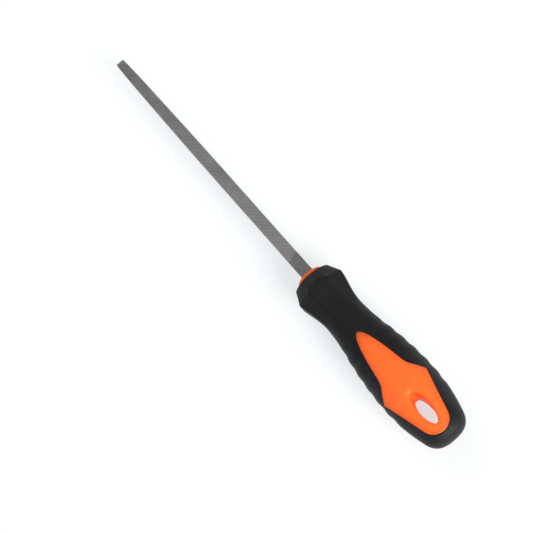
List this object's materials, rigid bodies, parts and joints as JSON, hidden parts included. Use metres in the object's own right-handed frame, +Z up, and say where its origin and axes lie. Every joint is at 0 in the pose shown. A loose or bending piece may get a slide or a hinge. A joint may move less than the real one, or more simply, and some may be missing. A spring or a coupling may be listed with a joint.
{
  "type": "square file",
  "caption": "Slim square hand file with a tapered, cut steel blade in a two-material moulded handle with an octagonal bolster and an oval hanging slot.",
  "frame": {"origin": "on the surface the tool lies on, under the middle of its overall length and width", "axes": "+X along the blade to its point, +Z up, out of one of the two wide faces that carry a panel, +Y across the tool"},
  "size_m": [0.2532, 0.0298, 0.0257],
  "materials": {
    "file_steel": "cut teeth, dull grey",
    "core_plastic": "satin",
    "grip_rubber": "matte, fine grain"
  },
  "bodies": {
    "root": {"file_blade": "file_steel", "handle_core": "core_plastic", "soft_grip": "grip_rubber"}
  },
  "joints": []
}
